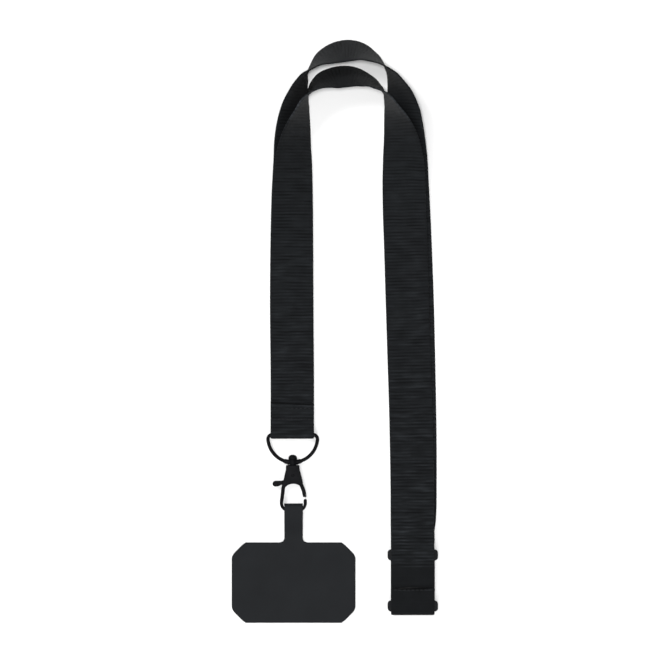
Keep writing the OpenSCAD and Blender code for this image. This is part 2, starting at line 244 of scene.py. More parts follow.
# ---------------------------------------------------------------- materials
class Shader:
    """A material with its main shader's sockets set by name, and helpers that add nodes to it.

    A helper takes the outputs of other nodes and returns its own.
    """

    def __init__(self, name, color, roughness, **sockets):
        self.material = bpy.data.materials.new(name)
        self.material.use_nodes = True
        self.tree = self.material.node_tree
        self.main = self.tree.nodes["Principled BSDF"]
        self.main.inputs["Base Color"].default_value = (*color, 1)
        self.main.inputs["Roughness"].default_value = roughness
        for key, value in sockets.items():
            self.main.inputs[key.replace("_", " ")].default_value = value

    def node(self, kind, **settings):
        made = self.tree.nodes.new(kind)
        for key, value in settings.items():
            if hasattr(made, key):
                setattr(made, key, value)
            else:
                made.inputs[key.replace("_", " ")].default_value = value
        return made

    def link(self, output, target):
        self.tree.links.new(output, target)

    def coordinates(self):
        return self.node("ShaderNodeTexCoord").outputs["Object"]

    def attribute(self, name):
        return self.node("ShaderNodeAttribute", attribute_name=name).outputs["Fac"]

    def axis(self, vector, name):
        made = self.node("ShaderNodeSeparateXYZ")
        self.link(vector, made.inputs[0])
        return made.outputs[name]

    def noise(self, vector, scale, detail):
        made = self.node("ShaderNodeTexNoise", Scale=scale, Detail=detail)
        self.link(vector, made.inputs["Vector"])
        return made.outputs["Fac"]

    def math(self, operation, a, b=None):
        made = self.node("ShaderNodeMath", operation=operation)
        for socket, value in zip(made.inputs, (a, b)):
            if isinstance(value, (int, float)):
                socket.default_value = value
            elif value is not None:
                self.link(value, socket)
        return made.outputs[0]

    def ramp(self, value, *stops):
        """Stops are (position, color)."""
        made = self.node("ShaderNodeValToRGB")
        elements = made.color_ramp.elements
        while len(elements) < len(stops):
            elements.new(0.5)
        for element, (position, color) in zip(elements, stops):
            element.position = position
            element.color = (*color, 1)
        self.link(value, made.inputs["Fac"])
        return made.outputs["Color"]

    def paint(self, value, *stops):
        self.link(self.ramp(value, *stops), self.main.inputs["Base Color"])

    def roughen(self, value, low, high):
        self.link(self.spread(value, low, high), self.main.inputs["Roughness"])

    def spread(self, value, low, high):
        """A value from 0 to 1 becomes one from low to high."""
        made = self.node("ShaderNodeMapRange")
        made.inputs["To Min"].default_value = low
        made.inputs["To Max"].default_value = high
        self.link(value, made.inputs["Value"])
        return made.outputs["Result"]

    def bump(self, height, distance, strength):
        made = self.node("ShaderNodeBump", Strength=strength, Distance=distance)
        self.link(height, made.inputs["Height"])
        self.link(made.outputs["Normal"], self.main.inputs["Normal"])


RIB_PITCH = 1.5                 # millimetres from one rib of the webbing to the next
YARN_PITCH = 0.42
RIB_FADE = 9                    # how much weaker the ribs get for each metre towards the arches
FAINTEST_RIB = 0.1


def webbing_material():
    shader = Shader("webbing", (0.008, 0.009, 0.0105), 0.72, Sheen_Weight=0.03, Sheen_Roughness=0.5,
                    Specular_IOR_Level=0.05)
    web = shader.node("ShaderNodeUVMap", uv_map="web").outputs["UV"]
    fibre = shader.noise(shader.coordinates(), 5200, 4)

    # warp yarns run along the webbing, over the weft that makes the ribs
    wander = shader.math("MULTIPLY", shader.noise(web, 0.35, 2), 0.35)
    shifted = shader.math("ADD", shader.axis(web, "X"), wander)
    wave = shader.math("SINE", shader.math("MULTIPLY", shifted, math.pi / YARN_PITCH))
    yarn = shader.math("ABSOLUTE", wave)

    # the rib attribute is 1 on a rib and 0 between two and is painted shade, darker in the grooves and
    # lighter on the crowns; it also carries painted highlights at the shoulder and on a melted cut, and the
    # blackened lip of a cut. "pressed" is 1 where heat has flattened the weave
    rib = shader.attribute("rib_shade_and_burn")
    pressed = shader.attribute("pressed")

    # long streaks make the ribs uneven, most on the lower ends and hardly at all on the arches
    stretched = shader.node("ShaderNodeMapping")
    stretched.inputs["Scale"].default_value = (0.11, 0.62, 1)
    shader.link(web, stretched.inputs["Vector"])
    fall = shader.math("MULTIPLY", shader.axis(shader.coordinates(), "Y"), RIB_FADE)
    lower = shader.math("MAXIMUM", FAINTEST_RIB, shader.math("SUBTRACT", 1, fall))
    uneven = shader.spread(shader.noise(stretched.outputs["Vector"], 1, 1), -0.4, 0.4)
    uneven = shader.math("MULTIPLY", uneven, lower)
    uneven = shader.math("MULTIPLY", uneven, shader.math("SUBTRACT", 1.1, pressed))
    streak = shader.math("ADD", 0.62, uneven)

    # painted shade: darker in the grooves between the ribs and between the yarns, lighter on the crowns
    rib_shade_and_burn = shader.math("MULTIPLY", shader.math("MULTIPLY", rib, streak), shader.spread(yarn, 0.8, 1))
    shade = shader.math("ADD", shader.math("MULTIPLY", rib_shade_and_burn, 0.8), shader.math("MULTIPLY", fibre, 0.2))
    patch = shader.spread(shader.noise(web, 0.16, 3), 0.55, 1.15)
    shade = shader.math("MULTIPLY", shader.math("MULTIPLY", shade, patch), shader.spread(pressed, 1, 0.56))
    shader.paint(shade, (0.08, (0.0012, 0.0014, 0.0017)), (0.45, (0.0057, 0.0065, 0.0074)),
                 (0.72, (0.0122, 0.0138, 0.0156)), (1.0, (0.038, 0.042, 0.047)))
    shader.roughen(fibre, 0.6, 0.82)
    shader.bump(shader.math("ADD", yarn, shader.math("MULTIPLY", fibre, 0.6)), 0.00007, 0.7)
    return shader.material


def thread_material():
    shader = Shader("thread", (0.008, 0.0085, 0.01), 0.6, Specular_IOR_Level=0.15)
    fibre = shader.noise(shader.coordinates(), 9000, 2)
    shader.paint(fibre, (0.3, (0.003, 0.0033, 0.004)), (0.75, (0.012, 0.013, 0.015)))
    shader.bump(fibre, 0.00004, 1)
    return shader.material


def metal_material(name, low, high, roughness, metallic, shine):
    """Cast, bent or coated metal, a little rough, and lighter on its edges."""
    shader = Shader(name, low, roughness, Metallic=metallic, Specular_IOR_Level=shine)
    place = shader.coordinates()
    grain = shader.noise(place, 2600, 5)
    cloud = shader.noise(place, 260, 2)
    edge = shader.node("ShaderNodeNewGeometry").outputs["Pointiness"]
    worn = shader.math("MULTIPLY", shader.spread(edge, -3.2, 4.4), cloud)
    shader.paint(worn, (0.15, low), (0.9, high))
    shader.roughen(grain, roughness - 0.1, roughness + 0.14)
    shader.bump(shader.math("ADD", grain, shader.math("MULTIPLY", cloud, 2)), 0.00003, 0.6)
    return shader.material


def plastic_material():
    shader = Shader("buckle_plastic", (0.005, 0.0053, 0.006), 0.45, Specular_IOR_Level=0.03)
    place = shader.coordinates()
    grain = shader.noise(place, 4200, 3)
    shader.paint(shader.noise(place, 180, 2), (0.3, (0.005, 0.0053, 0.006)), (0.7, (0.008, 0.0085, 0.0095)))
    shader.roughen(grain, 0.42, 0.6)
    shader.bump(grain, 0.00003, 0.5)
    return shader.material


def tab_material():
    """Soft-touch sheet: fine pebbled grain, nearly matte, with a faint unevenness."""
    shader = Shader("tab_sheet", (0.009, 0.0096, 0.0107), 0.62, Specular_IOR_Level=0.04)
    place = shader.coordinates()
    pebble = shader.node("ShaderNodeTexVoronoi", Scale=2600)
    shader.link(place, pebble.inputs["Vector"])
    cloud = shader.noise(place, 70, 3)
    fine = shader.noise(place, 7000, 3)
    shader.paint(cloud, (0.25, (0.0082, 0.0089, 0.0099)), (0.75, (0.0098, 0.0106, 0.0118)))
    shader.roughen(fine, 0.55, 0.72)
    grain = shader.math("ADD", pebble.outputs["Distance"], shader.math("MULTIPLY", fine, 0.5))
    shader.bump(grain, 0.00005, 0.55)
    return shader.material


def floor_material():
    shader = Shader("floor", (0.7, 0.7, 0.7), 0.85, Specular_IOR_Level=0.1)
    faint = shader.noise(shader.coordinates(), 6, 2)
    shader.paint(faint, (0.3, (0.697, 0.697, 0.697)), (0.7, (0.703, 0.703, 0.703)))
    return shader.material


# ---------------------------------------------------------------- routes of the webbing, as in the CAD model
WEB_W, WEB_T = 20, 0.9
LAYER = WEB_T + 0.05
LOW_Z = WEB_T / 2
MID_Z = LOW_Z + LAYER
FLAP_Z = MID_Z + LAYER
PLANE_Z = 2
LEFT_X, BUCKLE_X = -19.7, 35.75
RING_BAR_Y, PLUG_FOLD_Y, SOCKET_FOLD_Y = -47.3, -105, -128.5
BAR_Z, BAR_WRAP = 1.975, 1.525  # height of the buckle's bars, and radius of the webbing's middle round them
SPLIT_Y = -95                   # where the front strap's part on the socket begins


# A place on a route is the webbing's middle, the way its width points, and its width, in millimetres.
def tipped(x, y, z, bearing, tilt):
    """A place whose lower selvedge is at [x, y, z], with the width at a bearing and tilted up, in degrees."""
    b, t = math.radians(bearing), math.radians(tilt)
    w = Vector((math.cos(t) * math.cos(b), math.cos(t) * math.sin(b), math.sin(t)))
    return Vector((x, y, z)) + w * WEB_W / 2, w, WEB_W


def level(x, y, z, side, width=WEB_W):
    """A place whose middle is at [x, y, z], with the width along X or, when side is -1, against it."""
    return Vector((x, y, z)), Vector((side, 0, 0)), width


def wrap(x, y, z, radius, start, end, side, width=WEB_W, steps=8):
    """Places round a bar along X through [x, y, z], between two angles in degrees."""
    turns = (math.radians(start + (end - start) * i / steps) for i in range(steps + 1))
    return [level(x, y + radius * math.cos(a), z + radius * math.sin(a), side, width) for a in turns]


def mix(a, b, c, d, t):
    """A point of the Catmull-Rom curve from b to c."""
    square = 2 * a - 5 * b + 4 * c - d
    cube = 3 * b - a - 3 * c + d
    return (2 * b + (c - a) * t + square * t * t + cube * t ** 3) * 0.5


def curve(route, steps):
    """A smooth stretch through the places of a route, with a number of steps from each to the next."""
    def pick(i):
        return route[max(0, min(len(route) - 1, i))]

    places = []
    for i in range(len(route) - 1):
        four = [pick(i + k) for k in (-1, 0, 1, 2)]
        for s in range(steps):
            places.append(tuple(mix(*(place[part] for place in four), s / steps) for part in range(3)))
    return places + [route[-1]]


# lower selvedge of the back webbing from the D-ring, up the left side, round the arch and down the right side
BACK_ARCH = (
    (-9.7, -20, LOW_Z, 180, 0.6), (-10, 8, LOW_Z, 180, 2), (-10.1, 36, LOW_Z, 180, 10),
    (-10.2, 60, LOW_Z, 180, 17.5), (-10.6, 78, LOW_Z, 180, 27.5), (-11.5, 88, LOW_Z, 181, 35),
    (-11.9, 97, LOW_Z, 183, 43), (-12.3, 105, LOW_Z, 187, 53), (-12.3, 112, LOW_Z, 194, 64),
    (-11.6, 117, LOW_Z, 207, 70), (-10.4, 122, LOW_Z, 235, 70), (-7, 127.7, LOW_Z, 258, 66),
    (-2.5, 131.8, LOW_Z, 268, 59), (2.2, 133.9, LOW_Z, 270, 56), (6.8, 134.3, LOW_Z, 270, 57),
    (11.3, 133.1, LOW_Z, 272, 61), (15.4, 130.4, LOW_Z, 277, 67), (19.2, 126.8, LOW_Z, 292, 71),
    (22.2, 121.3, LOW_Z, 322, 70), (23.6, 115.4, LOW_Z, 345, 64.5), (23.9, 109, LOW_Z, 357, 53),
    (23.3, 102, LOW_Z, 360, 39), (22.9, 95, LOW_Z, 360, 29), (22.8, 87, LOW_Z, 360, 20),
    (22.9, 79, LOW_Z, 360, 11), (23.2, 69, LOW_Z, 360, 6), (24.3, 46, LOW_Z, 360, 1.5),
    (25.5, 14, LOW_Z, 360, 0.2))

BACK_ROUTE = [
    # the flap that lies on the front webbing, and the loop round the D-ring's bar
    curve([level(LEFT_X, -32.9, FLAP_Z + 0.5, -1), level(LEFT_X, -38, FLAP_Z + 0.15, -1),
           level(LEFT_X, -42, FLAP_Z + 0.12, -1), level(LEFT_X, -44.8, 3.15, -1)], 6),
    wrap(LEFT_X, RING_BAR_Y, PLANE_Z, PLANE_Z - LOW_Z, 90, 270, -1),
    # the long way to the buckle
    curve([level(LEFT_X, -44, LOW_Z, -1)] + [tipped(*place) for place in BACK_ARCH]
          + [level(36.3, -20, LOW_Z + 0.01, 1), level(36.8, -50, LOW_Z, 1), level(36.8, -76, LOW_Z, 1),
             level(36.7, -82, LOW_Z + 0.03, 1), level(36.5, -86, LOW_Z + 0.12, 1),
             level(36, -89.6, LOW_Z + 0.7, 1), level(BUCKLE_X, -91.2, LOW_Z + LAYER, 1),
             level(BUCKLE_X, -92.6, 2.1, 1), level(BUCKLE_X, -94.4, 3.4, 1), level(BUCKLE_X, -97, 3.5, 1),
             level(BUCKLE_X, -101.5, 3.5, 1, 18.2)], 8),
    # the loop round the plug's bar, and the tail underneath
    wrap(BUCKLE_X, PLUG_FOLD_Y, BAR_Z, BAR_WRAP, 90, 270, 1, 18),
    curve([level(BUCKLE_X, -101.5, LOW_Z, 1, 18.4), level(BUCKLE_X, -96, LOW_Z, 1),
           level(BUCKLE_X, -89.3, LOW_Z, 1)], 6),
]

# lower selvedge of the front webbing, inside the back webbing's arch
FRONT_ARCH = (
    (-9.7, -20, MID_Z, 180, 0.6), (-9.9, 8, MID_Z, 180, 2), (-10, 30, MID_Z + 0.04, 180, 8.6),
    (-10.1, 52, MID_Z, 180, 15.8), (-10.4, 70, MID_Z + 0.08, 180, 25), (-11, 84, MID_Z + 0.1, 183, 38.5),
    (-11.3, 94.5, MID_Z, 187, 54), (-11.6, 103, MID_Z, 203, 68), (-11.2, 109, MID_Z, 228, 72.5),
    (-9.9, 114, 1.2, 262, 72), (-6.8, 118.3, 0.9, 276, 65), (-2.3, 121.3, LOW_Z, 280, 58),
    (3.1, 122.4, LOW_Z, 281, 56.5), (8.4, 121.6, LOW_Z, 283, 59), (13.5, 119, LOW_Z, 288, 64),
    (17.2, 116, 0.8, 295, 67.5), (20.2, 112.2, 1.2, 308, 68.5), (21.8, 106.2, MID_Z, 329, 64.5),
    (22.2, 99, MID_Z, 347, 53), (22.4, 92, MID_Z, 354, 41), (22.3, 85, MID_Z, 358, 30),
    (22, 77, MID_Z, 360, 17), (21.8, 68, MID_Z, 360, 9.5), (22, 54, MID_Z + 0.05, 360, 5),
    (22.5, 40, MID_Z + 0.05, 360, 1.8), (23.1, 20, MID_Z + 0.04, 360, 0.8))

FRONT_ROUTE = [
    # from under the flap to the place where the strap begins to follow the socket
    curve([level(LEFT_X, -44.2, MID_Z, -1)] + [tipped(*place) for place in FRONT_ARCH]
          + [level(34, -9, MID_Z, 1), level(34.8, -34, MID_Z + 0.1, 1), level(35.3, -58, 2.3, 1),
             level(35.5, -74, 3.7, 1), level(35.5, -85, 4.5, 1), level(35.6, SPLIT_Y + 0.1, 4.5, 1)], 8),
    # over the buckle and down through the socket's slot
    curve([level(35.6, SPLIT_Y - 0.1, 4.5, 1), level(35.7, -107, 4.5, 1), level(BUCKLE_X, -113, 4.4, 1),
           level(BUCKLE_X, -118, 4.4, 1), level(BUCKLE_X, -119.8, 4.25, 1, 19),
           level(BUCKLE_X, -121.3, 3.3, 1, 18), level(BUCKLE_X, -121.9, 2.2, 1, 18),
           level(BUCKLE_X, -122.4, 1.3, 1, 18),
           level(BUCKLE_X, -123.1, 0.62, 1, 18.3), level(BUCKLE_X, -123.8, 0.48, 1, 18.6),
           level(BUCKLE_X, -125.4, LOW_Z, 1)], 6),
    # the loop round the socket's bar, and the tail that lies on the strap
    wrap(BUCKLE_X, SOCKET_FOLD_Y, BAR_Z, BAR_WRAP, 270, 90, 1),
    curve([level(BUCKLE_X, -126, 3.5, 1), level(BUCKLE_X, -123.5, 3.8, 1), level(BUCKLE_X, -121.5, 4.65, 1),
           level(BUCKLE_X, -119.5, 5.35, 1), level(BUCKLE_X, -117.65, 5.62, 1)], 6),
]

# columns across the webbing, from one selvedge to the other, as shares of half its width
COLUMNS = (-1, -0.985, -0.955, -0.9, -0.75, -0.5, -0.25, 0, 0.25, 0.5, 0.75, 0.9, 0.955, 0.985, 1)
STEPS_PER_RIB = 6
THICK_AT_RIB, THICK_IN_GROOVE = 0.44, 0.28      # half of the webbing's thickness, in millimetres
SELVEDGE = 0.9                  # share of half the width at which the selvedge begins to thin
SLANT_ZONE, MELT_ZONE, LIP = 4, 1.2, 0.6        # lengths of a heat-cut end: skewed, melted and blackened; the melted rim also gets a painted highlight
SHOULDER_Y, SHOULDER_REACH = 105, 11            # where the selvedge stands up and gets a painted highlight


def even_places(route):
    """Places along a route at equal steps of length, each with its distance from the start."""
    places = [place for stretch in route for place in stretch]
    reach = [0]
    for a, b in zip(places, places[1:]):
        reach.append(reach[-1] + (b[0] - a[0]).length)
    step = RIB_PITCH / STEPS_PER_RIB
    out, k = [], 0
    for i in range(int(reach[-1] / step) + 1):
        s = i * step
        while k < len(places) - 2 and reach[k + 1] < s:
            k += 1
        t = (s - reach[k]) / max(reach[k + 1] - reach[k], 1e-9)
        a, b = places[k], places[k + 1]
        out.append((a[0].lerp(b[0], t), a[1].lerp(b[1], t).normalized(), a[2] + (b[2] - a[2]) * t, s))
    return out, reach[-1]


def cut_line(u, slant, waver, seed):
    """How far the heat-cut end runs past its middle, at a place across the webbing."""
    coarse = waver * noise.noise(Vector((u * 2.3, seed, 0.5)))
    fine = 0.12 * noise.noise(Vector((u * 9, seed, 3)))
    return slant * u + coarse + fine


def relief(u, s, length, smooth):
    """Depth of the grooves between the ribs: uneven from place to place, nearly none on a pressed stretch."""
    depth = 0.8 + 1.3 * noise.noise(Vector((u * 1.1, s * 0.4, 7)))
    gap = length - s
    if smooth[0] < gap < smooth[1]:
        depth *= 0.12
    return max(0.1, min(1.4, depth))


def webbing(name, route, material, ends, smooth=(0, 0), painted_edge_highlight=0):
    """Ribbed webbing as one closed skin. ends gives (slant, waver) of the cut at the start and at the end.

    smooth is the stretch that heat has pressed flat, as distances from the far end. The last argument is how
    strong the painted highlight is on the selvedge where it stands up at the shoulder of the arch and catches
    the light.
    """
    places, length = even_places(route)
    seed = len(name)
    bm = bmesh.new()
    web_uv = bm.loops.layers.uv.new("web")
    rib_shade_and_burn_layer = bm.verts.layers.float.new("rib_shade_and_burn")
    pressed_layer = bm.verts.layers.float.new("pressed")
    rings, marks = [], {}
    last = len(places) - 1
    for i, (middle, width_way, width, s) in enumerate(places):
        run = (places[min(i + 1, last)][0] - places[max(i - 1, 0)][0]).normalized()
        side = (width_way - run * width_way.dot(run)).normalized()
        up = run.cross(side)
        # a painted highlight on the raised selvedge at the shoulder, where the curled edge catches the light
        shoulder_highlight = 1.1 * painted_edge_highlight * max(0, 1 - ((middle.y - SHOULDER_Y) / SHOULDER_REACH) ** 2)
        ring = []
        for face in (1, -1):
            for u in COLUMNS if face > 0 else COLUMNS[-2:0:-1]:
                wander = 0.22 * noise.noise(Vector((u * 1.6, s * 0.045, face * 3.1)))
                rib = abs(math.cos(math.pi * (s / RIB_PITCH + wander))) ** 0.7
                rib = 1 - (1 - rib) * relief(u, s, length, smooth)
                edge = max(0, (abs(u) - SELVEDGE) / (1 - SELVEDGE))
                # painted shade from the ribs, darker in the grooves, plus the painted highlight on the
                # shoulder's selvedge
                rib_shade_and_burn = rib + shoulder_highlight * max(0, u * 4 - 3)
                half = THICK_IN_GROOVE + (THICK_AT_RIB - THICK_IN_GROOVE) * rib * (1 - 0.5 * edge)
                half *= math.sqrt(max(0, 1 - edge ** 3)) * 0.85 + 0.15 if abs(u) < 1 else 0
                reach = width / 2 * u * (1 - 0.006 * (1 - rib))
                shift = 0
                for end, (slant, waver) in enumerate(ends):
                    gap = length - s if end else s
                    way = 1 if end else -1
                    if gap < SLANT_ZONE:
                        shift += way * cut_line(u, slant, waver, end * 5 + seed) * (1 - gap / SLANT_ZONE) ** 2
                    if gap < MELT_ZONE:
                        half *= 1.1 - 0.35 * max(0, 1 - gap / 0.8) ** 3
                        # the melted rim is painted lighter, a painted highlight where the raised cut catches
                        # the light, and the lip is blackened
                        rib_shade_and_burn = -1.5 if gap < LIP else 1.3 + 1.2 * noise.noise(Vector((u * 2, 4, end)))
                vert = bm.verts.new((middle + side * reach + up * half * face + run * shift) * MM)
                marks[vert] = (reach, s)
                vert[rib_shade_and_burn_layer] = rib_shade_and_burn
                vert[pressed_layer] = smooth[0] < length - s < smooth[1]
                ring.append(vert)
        rings.append(ring)
    skin(bm, rings)
    for face in bm.faces:
        for loop in face.loops:
            loop[web_uv].uv = marks[loop.vert]
    return mesh_object(name, bm, material), length


STITCHES, STITCH_PITCH = 9, 2   # in a row across the webbing
THREAD_R = 0.17


def stitches(name, rows, material, body, node, depth):
    """Rows of lock stitches through the places [x, y, z]. Each is a bowed thread whose ends go down."""
    bm = bmesh.new()
    half = STITCH_PITCH * 0.46
    for x, y, z in rows:
        for i in range(STITCHES):
            mid = x + (i - (STITCHES - 1) / 2) * STITCH_PITCH
            skew = 0.12 * noise.noise(Vector((i * 1.7, y, 0)))
            path = [(mid - half, y - skew, z - depth), (mid - half * 0.93, y - skew, z - 0.1),
                    (mid - half * 0.6, y - skew * 0.6, z + 0.1), (mid, y, z + 0.14),
                    (mid + half * 0.6, y + skew * 0.6, z + 0.1), (mid + half * 0.93, y + skew, z - 0.1),
                    (mid + half, y + skew, z - depth)]
            tube(bm, path, THREAD_R, sides=8, round_ends=False)
    piece = mesh_object(name, bm, material)
    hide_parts(node)
    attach(piece, body)


# ---------------------------------------------------------------- D-ring and swivel hook
HOOK_X = -19.5
RING_WIRE, RING_HALF, RING_CORNER = 1.6, 9.2, 2.2
BOSS_Y, BOSS_R, BOSS_L = -60.1, 1.9, 2.4
BORE_R, POST_R, HEAD_R = 1.25, 1.2, 1.95
POST_END_Y = -63.5
COLLAR_TOP = BOSS_Y - BOSS_L / 2 - 0.1
PIVOT_Y, PIN_R, PIN_PLAY = -66.1, 0.75, 0.05
SPRING_POCKET_R = 1.5
THUMB_Y = -3.85                 # below the pivot
HOOK_T, GATE_T, SLOT_T = 4, 1.5, 1.7
# the eye is the hole above the claw, with its middle EYE_X to the right of the hook's axis
EYE_X, EYE_Y, EYE_CORNER_X, EYE_CORNER_R = 0.3, -78.9, 2.2, 3.3
EYE_TOP_R, EYE_TOP_Y, EYE_LEFT_Y, EYE_RIGHT_Y = 5, -74.9, -72.6, -70.8
CLAW_WIRE, CLAW_STOUTER = 1.4, 0.13
CLAW_BOTTOM, CLAW_TIP = -82.6, -77.75
CLAW_GROWS_FROM, CLAW_GROWS_OVER = -80, 3


def bow(half, drop, corner):
    """Radius of the arc that joins two corner arcs at a bottom that is drop below their middles."""
    return (half ** 2 + drop ** 2 - corner ** 2) / (2 * (drop - corner))


def make_d_ring(material):
    """Wire with a straight bar and a bow, and at the bottom of the bow a bored boss."""
    corner_y = RING_BAR_Y - RING_CORNER
    radius = bow(RING_HALF, corner_y - BOSS_Y, RING_CORNER)
    bow_y = BOSS_Y + radius
    turn = math.degrees(math.atan2(bow_y - corner_y, RING_HALF))
    bm = bmesh.new()
    bar = [(HOOK_X + RING_HALF * share, RING_BAR_Y, PLANE_Z) for share in (-2 / 3, -1 / 3, 0, 1 / 3, 2 / 3)]
    tube(bm, arc(HOOK_X + RING_HALF, corner_y, RING_CORNER, 90, -turn, PLANE_Z)
         + arc(HOOK_X, bow_y, radius, -turn - 3, turn - 177, PLANE_Z, 44)
         + arc(HOOK_X - RING_HALF, corner_y, RING_CORNER, 180 + turn, 90, PLANE_Z) + bar,
         RING_WIRE / 2, closed=True, sides=24)
    low, high = BOSS_Y - BOSS_L / 2, BOSS_Y + BOSS_L / 2
    profile = [(BORE_R, low + 0.15), (BORE_R + 0.12, low), (BOSS_R - 0.3, low), (BOSS_R - 0.08, low + 0.22),
               (BOSS_R, low + 0.6), (BOSS_R, high - 0.6), (BOSS_R - 0.08, high - 0.22), (BOSS_R - 0.3, high),
               (BORE_R + 0.12, high), (BORE_R, high - 0.15)]
    rings = bmesh.new()
    lathe(rings, profile, HOOK_X, PLANE_Z, around=True)
    boss = mesh_object("boss", rings)
    ring = mesh_object("d_ring_wire", bm, material)
    # fillets of metal that carry the wire into the boss
    webs = bmesh.new()
    for side in (-1, 1):
        inner = (HOOK_X + side, BOSS_Y + 0.05, PLANE_Z)
        middle = (HOOK_X + side * 2.2, BOSS_Y + 0.2, PLANE_Z)
        outer = (HOOK_X + side * 3.4, BOSS_Y + 0.5, PLANE_Z)
        tube(webs, [inner, middle], 1.25, round_ends=False)
        tube(webs, [middle, outer], 1.05)
    combine(ring, "UNION", [boss, mesh_object("fillets", webs)], use_self=True)
    bore = bmesh.new()
    lathe(bore, [(BORE_R, BOSS_Y - 3), (BORE_R, BOSS_Y + 3)], HOOK_X, PLANE_Z)
    combine(ring, "DIFFERENCE", [mesh_object("bore", bore)])
    shade(ring, 50)
    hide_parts("d_ring")
    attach(ring, "ring")


def make_post(material):
    """Rivet with a domed head, which turns in the boss and holds the hook."""
    head = BOSS_Y + BOSS_L / 2 + 0.1
    bm = bmesh.new()
    lathe(bm, [(POST_R, POST_END_Y), (POST_R, head), (HEAD_R - 0.25, head), (HEAD_R, head + 0.25),
               (HEAD_R, head + 0.8), (HEAD_R - 0.08, head + 1.15), (HEAD_R - 0.3, head + 1.55),
               (HEAD_R - 0.7, head + 1.9), (HEAD_R - 1.2, head + 2.12), (0.3, head + 2.2)], HOOK_X, PLANE_Z)
    post = mesh_object("swivel_rivet", bm, material)
    shade(post, 50)
    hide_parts("swivel_post")
    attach(post, "hook")


def pin_cutter(radius):
    """A rod through the hook where the gate's pin goes."""
    bm = bmesh.new()
    extrude(bm, arc(HOOK_X, PIVOT_Y, radius, 0, 345, steps=23), PLANE_Z - 3, PLANE_Z + 3)
    return mesh_object("pin_hole", bm)


def casting_outline():
    """Plan of the hook's body: the collar, the cone and the arch over the eye, from the hook's axis."""
    right = [(3.1, COLLAR_TOP), (3.1, -63.1), (3.25, -63.9), (3.5, -64.6), (4.15, -67), (4.7, -69.4),
             (4.3, EYE_RIGHT_Y)]
    left = [(-5.1, EYE_LEFT_Y), (-4.9, -70.6), (-4, -67.4), (-3.5, -64.9), (-3.25, -63.9), (-3.1, -63.1),
            (-3.1, COLLAR_TOP)]
    turn_right = math.degrees(math.asin((EYE_RIGHT_Y - EYE_TOP_Y) / EYE_TOP_R))
    turn_left = 180 - math.degrees(math.asin((EYE_LEFT_Y - EYE_TOP_Y) / EYE_TOP_R))
    return right + arc(EYE_X, EYE_TOP_Y, EYE_TOP_R, turn_right, turn_left, steps=20) + left


def claw_path():
    """Middle of the claw, from inside the body down its left side and round to the open tip."""
    side = EYE_CORNER_X + EYE_CORNER_R
    middle = HOOK_X + EYE_X
    radius = bow(EYE_CORNER_X, EYE_Y - CLAW_BOTTOM, EYE_CORNER_R)
    turn = math.degrees(math.atan2(CLAW_BOTTOM + radius - EYE_Y, EYE_CORNER_X))
    left = middle - side
    lean = [(left + x, EYE_Y + y, PLANE_Z) for x, y in ((0.88, 7.2), (0.6, 4.9), (0.3, 2.4), (0.08, 1))]
    return (lean + arc(middle - EYE_CORNER_X, EYE_Y, EYE_CORNER_R, 180, 180 + turn, PLANE_Z)
            + arc(middle, CLAW_BOTTOM + radius, radius, 182 + turn, 358 - turn, PLANE_Z, 8)
            + arc(middle + EYE_CORNER_X, EYE_Y, EYE_CORNER_R, -turn, 0, PLANE_Z)
            + [(middle + side, CLAW_TIP, PLANE_Z)])


def claw_radius(y):
    """The cast sides are stouter than the bar under the tab's loop."""
    return CLAW_WIRE / 2 + CLAW_STOUTER * max(0, min(1, (y - CLAW_GROWS_FROM) / CLAW_GROWS_OVER))


def make_hook_body(material):
    """Flat casting with a slot for the gate, a hole for its pin, and the claw."""
    bm = bmesh.new()
    outline = [(HOOK_X + x, y) for x, y in casting_outline()]
    extrude(bm, outline[::-1], PLANE_Z - HOOK_T / 2, PLANE_Z + HOOK_T / 2)
    body = bevelled(mesh_object("hook_casting", bm, material), 0.55, 4, 50)
    # the slot is open on both sides, and lower on the right, where the gate's arm swings
    slot = bmesh.new()
    plan = ((-9, -64.05), (-9, -70.6), (-3.4, -70.6), (-3.4, -74.5), (9, -74.5), (9, -64.05))
    extrude(slot, [(HOOK_X + x, y) for x, y in plan], PLANE_Z - SLOT_T / 2, PLANE_Z + SLOT_T / 2)
    combine(body, "DIFFERENCE", [mesh_object("slot", slot), pin_cutter(PIN_R)])
    claw = bmesh.new()
    path = claw_path()
    tube(claw, path, [claw_radius(y) for _, y, _ in path], sides=24)
    combine(body, "UNION", [mesh_object("claw", claw)])
    shade(body, 45)
    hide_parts("hook_body")
    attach(body, "hook")


